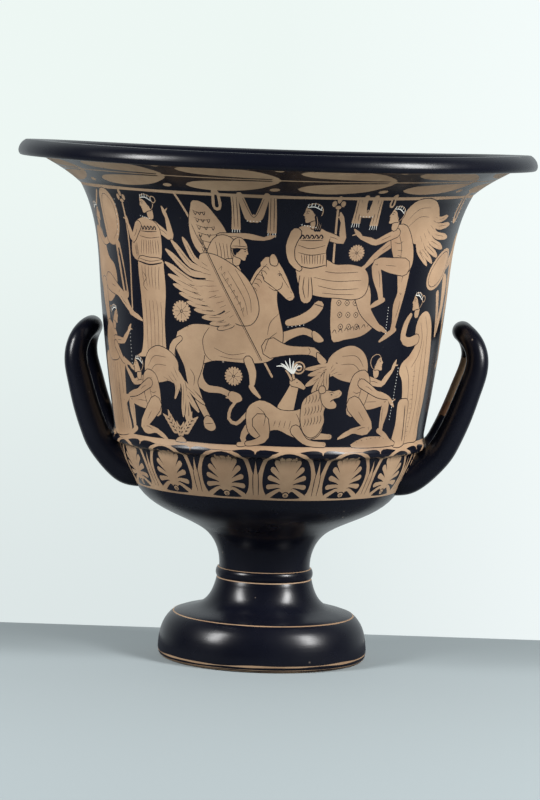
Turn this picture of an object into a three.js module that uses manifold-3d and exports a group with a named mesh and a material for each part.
// A Greek calyx krater: a wide deep bowl on a short stem and a thick hollow foot,
// with two rolled handles that rise from the lower body. Millimetres, +Z up, base on z = 0.
import * as THREE from "three";
import { mergeVertices } from "three/addons/utils/BufferGeometryUtils.js";
import Module from "manifold-3d";

// Driving dimensions: radius and height of each change in the outside profile.
const restInner = 77; // the flat ring that the pot stands on
const restOuter = 88;
const footRadius = 91.8;
const footEdge = 8;
const footShoulder = { radius: 79.4, height: 38.8 };
const footTop = { radius: 58, height: 45 };
const fillet = { radius: 41.5, low: 70.4, high: 78.8, groove: 0.8 };
const stemRadius = 39.9;
const stemTop = { radius: 57, height: 114 };
const bandFoot = { radius: 116.3, height: 152.9 };
const bandTop = { radius: 131.6, height: 187.6 };
const ridge = { radius: 137.4, low: 190.4, high: 197.4, draft: 1 };
const wallFoot = { radius: 135.8, height: 203 };
const wallMiddle = { radius: 150.4, height: 312 };
const wallTop = { radius: 170.8, height: 410.2 };
const flareTop = { radius: 209, height: 434.2 };
const lip = { under: 222.6, tip: 225.6, top: 219.6, inner: 206 };
const lipHeight = { under: 432.4, tip: 437, top: 445.8, inner: 444.8 };

// The inside follows the outside at the thickness of the wall.
const wallThickness = 9.5;
const floorHeight = 127;
const innerShoulderLift = 2; // how much higher the bowl turns up inside than outside
const footHollow = { height: 106, radius: 27, waist: 58, waistRadius: 33, mouthHeight: 27 };

// Rim: it sagged a little at the front and back when it was fired.
const rimSag = 2;
const sagStart = 330;

// Handles: stations of one strand, from inside the wall to the middle of the loop at the top.
// spread is half the distance between the two strands, and hook is how far the loop leans back in.
const strand = [
  { out: 103, up: 159, spread: 24, radius: 11 },
  { out: 119, up: 164, spread: 25, radius: 15 },
  { out: 131, up: 171, spread: 27, radius: 14.2 },
  { out: 147.6, up: 187, spread: 30, radius: 12.6 },
  { out: 155.7, up: 201.5, spread: 32, radius: 12 },
  { out: 164.2, up: 221.5, spread: 33.5, radius: 11.6 },
  { out: 171.3, up: 242, spread: 34, radius: 11 },
  { out: 177.1, up: 260, spread: 33.5, radius: 10.4 },
  { out: 178, up: 273, spread: 32, radius: 9.9 },
  { out: 178, up: 284.5, spread: 27, radius: 9.6, hook: 4 },
  { out: 178, up: 291, spread: 17, radius: 9.4, hook: 9.8 },
];
const loopTop = { out: 178, up: 292.4, spread: 0, radius: 9.3, hook: 11.6 };
const handlePivot = { out: 120, up: 163 };
const handles = [
  { turn: 0.5, lean: 0, size: 1, hook: 1 },
  { turn: 175.5, lean: 3.4, size: 0.93, hook: 0.65 },
];

// Fineness of the facets.
const segments = 56;
const flatness = 0.35; // how far a facet of the profile may stand off its curve
const curvePull = 0.36; // length of a curve's handles, as a share of its chord
const handleSteps = 34;
const handleSides = 10;

const glossBlack = new THREE.MeshStandardMaterial({
  name: "black_gloss",
  color: 0x14151c,
  roughness: 0.28,
  metalness: 0,
});

const degrees = (angle) => THREE.MathUtils.degToRad(angle);
const heading = (angle) => new THREE.Vector2(Math.cos(degrees(angle)), Math.sin(degrees(angle)));

// A station of a profile: where it is, and the directions in which the outline
// arrives and leaves, in degrees from outwards round to up. Without them it is a corner.
const station = (radius, height, arrive, leave = arrive) => ({
  at: new THREE.Vector2(radius, height),
  arrive,
  leave,
});

// Joins stations by curves, with more steps where the outline turns more or runs longer.
function profile(stations) {
  const points = [stations[0].at];
  for (let i = 1; i < stations.length; i++) {
    const from = stations[i - 1];
    const to = stations[i];
    const chord = to.at.clone().sub(from.at);
    const straight = THREE.MathUtils.radToDeg(chord.angle());
    const leave = from.leave ?? straight;
    const arrive = to.arrive ?? straight;
    const turn = degrees(turnBetween(leave, straight) + turnBetween(straight, arrive));
    const reach = curvePull * chord.length();
    const curve = new THREE.CubicBezierCurve(
      from.at,
      from.at.clone().addScaledVector(heading(leave), reach),
      to.at.clone().addScaledVector(heading(arrive), -reach),
      to.at,
    );
    const steps = Math.max(1, Math.round(Math.sqrt((turn * chord.length()) / (8 * flatness))));
    points.push(...curve.getPoints(steps).slice(1));
  }
  return points;
}

// The angle from one direction to another, whichever way round is shorter.
function turnBetween(a, b) {
  return Math.abs(THREE.MathUtils.euclideanModulo(b - a + 180, 360) - 180);
}

const wasm = await Module();
wasm.setup();

function solidFrom(geometry) {
  geometry.deleteAttribute("normal");
  geometry.deleteAttribute("uv");
  const merged = mergeVertices(geometry, 1e-3);
  return new wasm.Manifold(
    new wasm.Mesh({
      numProp: 3,
      vertProperties: merged.attributes.position.array,
      triVerts: new Uint32Array(merged.index.array),
    }),
  );
}

// A profile from axis to axis, turned about +Z.
function thrown(points) {
  const geometry = new THREE.LatheGeometry(points, segments);
  geometry.rotateX(Math.PI / 2);
  return solidFrom(geometry);
}

function outsideProfile() {
  return profile([
    station(0, 0),
    station(restOuter, 0, undefined, 5),
    station(footRadius, footEdge, 88, 92),
    station(footShoulder.radius, footShoulder.height, 143, 158),
    station(footTop.radius, footTop.height, 159),
    station(fillet.radius + fillet.groove / 2, fillet.low - fillet.groove, 102, undefined),
    station(fillet.radius, fillet.low, undefined, 55),
    station(fillet.radius, fillet.high, 125, undefined),
    station(stemRadius, fillet.high + fillet.groove, undefined, 92),
    station(stemTop.radius, stemTop.height, 31.5),
    station(bandFoot.radius, bandFoot.height, 61),
    station(bandTop.radius, bandTop.height, 77, undefined),
    station(ridge.radius, ridge.low, undefined, 55),
    station(ridge.radius - ridge.draft, ridge.high, 125, 110),
    station(wallFoot.radius, wallFoot.height, 84, 80.5),
    station(wallMiddle.radius, wallMiddle.height, 84),
    station(wallTop.radius, wallTop.height, 61, 41.5),
    station(flareTop.radius, flareTop.height, 29.5, undefined),
    station(lip.under, lipHeight.under, undefined, 0),
    station(lip.tip, lipHeight.tip, 95),
    station(lip.top, lipHeight.top, 150, 176),
    station(0, lipHeight.top),
  ]);
}

function bowlHollowProfile() {
  const across = wallThickness;
  return profile([
    station(0, floorHeight, undefined, 0),
    station(bandFoot.radius - across, bandFoot.height + across / 2, 58),
    station(bandTop.radius - across, bandTop.height + innerShoulderLift, 79),
    station(wallMiddle.radius - across, wallMiddle.height, 84),
    station(wallTop.radius - across, wallTop.height + across / 2, 58, 42),
    station(lip.inner - across / 2, lipHeight.inner - across / 2, 34, 50),
    station(lip.inner, lipHeight.inner, 5, undefined),
    station(lip.top + across, lipHeight.top + across),
    station(0, lipHeight.top + across),
  ]);
}

function footHollowProfile() {
  const below = -wallThickness;
  return profile([
    station(0, below),
    station(restInner, below),
    station(restInner, 0, undefined, 93),
    station(footShoulder.radius - wallThickness, footHollow.mouthHeight, 120),
    station(footHollow.waistRadius, footHollow.waist, 110),
    station(footHollow.radius, footHollow.height - wallThickness, 92, 95),
    station(0, footHollow.height, 180),
  ]);
}

// One handle: a strand from the front root over the loop to the back root, thick where it is luted on.
function rolledHandle({ turn, lean, size, hook }) {
  const front = strand.map((s) => ({ ...s, spread: -s.spread }));
  const whole = [...front, loopTop, ...[...strand].reverse()];
  const tilt = degrees(lean);
  const spine = new THREE.CatmullRomCurve3(
    whole.map((s) => {
      const out = (s.out - hook * (s.hook ?? 0) - handlePivot.out) * size;
      const up = (s.up - handlePivot.up) * size;
      return new THREE.Vector3(
        handlePivot.out + out * Math.cos(tilt) - up * Math.sin(tilt),
        s.spread,
        handlePivot.up + out * Math.sin(tilt) + up * Math.cos(tilt),
      );
    }),
  );
  const radiusAt = (t) => {
    const place = t * (whole.length - 1);
    const low = Math.min(Math.floor(place), whole.length - 2);
    return THREE.MathUtils.lerp(whole[low].radius, whole[low + 1].radius, place - low);
  };
  const geometry = taperedTube(spine, radiusAt, handleSteps, handleSides);
  geometry.rotateZ(degrees(turn));
  return solidFrom(geometry);
}

// A round tube along a spine, closed at both ends, whose radius changes along it.
function taperedTube(spine, radiusAt, steps, sides) {
  const positions = [];
  const faces = [];
  let side = new THREE.Vector3(0, 0, 1);
  for (let i = 0; i <= steps; i++) {
    const t = i / steps;
    const centre = spine.getPoint(t);
    const along = spine.getTangent(t);
    side = side.addScaledVector(along, -side.dot(along)).normalize();
    const across = new THREE.Vector3().crossVectors(along, side);
    for (let j = 0; j < sides; j++) {
      const angle = (j / sides) * 2 * Math.PI;
      const point = centre
        .clone()
        .addScaledVector(side, radiusAt(t) * Math.cos(angle))
        .addScaledVector(across, radiusAt(t) * Math.sin(angle));
      positions.push(...point);
    }
  }
  for (let i = 0; i < steps; i++) {
    for (let j = 0; j < sides; j++) {
      const a = i * sides + j;
      const b = i * sides + ((j + 1) % sides);
      faces.push(a, b, a + sides, b, b + sides, a + sides);
    }
  }
  for (let j = 1; j < sides - 1; j++) {
    faces.push(0, j + 1, j);
    faces.push(steps * sides, steps * sides + j, steps * sides + j + 1);
  }
  const geometry = new THREE.BufferGeometry();
  geometry.setAttribute("position", new THREE.Float32BufferAttribute(positions, 3));
  geometry.setIndex(faces);
  return geometry;
}

// Lifts the rim above the handles and lowers it between them, fading out down the wall.
function sagRim(positions) {
  for (let i = 0; i < positions.count; i++) {
    const x = positions.getX(i);
    const y = positions.getY(i);
    const z = positions.getZ(i);
    const share = THREE.MathUtils.smoothstep(z, sagStart, lipHeight.top);
    const aroundTwice = Math.cos(2 * Math.atan2(y, x));
    positions.setZ(i, z + rimSag * share * aroundTwice);
  }
}

function krater() {
  let solid = thrown(outsideProfile());
  for (const handle of handles) solid = solid.add(rolledHandle(handle));
  solid = solid.subtract(thrown(bowlHollowProfile())).subtract(thrown(footHollowProfile()));
  const { vertProperties, triVerts } = solid.getMesh();
  const geometry = new THREE.BufferGeometry();
  geometry.setAttribute("position", new THREE.BufferAttribute(new Float32Array(vertProperties), 3));
  geometry.setIndex(new THREE.BufferAttribute(new Uint32Array(triVerts), 1));
  sagRim(geometry.attributes.position);
  geometry.computeVertexNormals();
  const mesh = new THREE.Mesh(geometry, glossBlack);
  mesh.name = "krater";
  return mesh;
}

const model = new THREE.Group();
model.name = "greek_krater";
model.add(krater());

export default model;
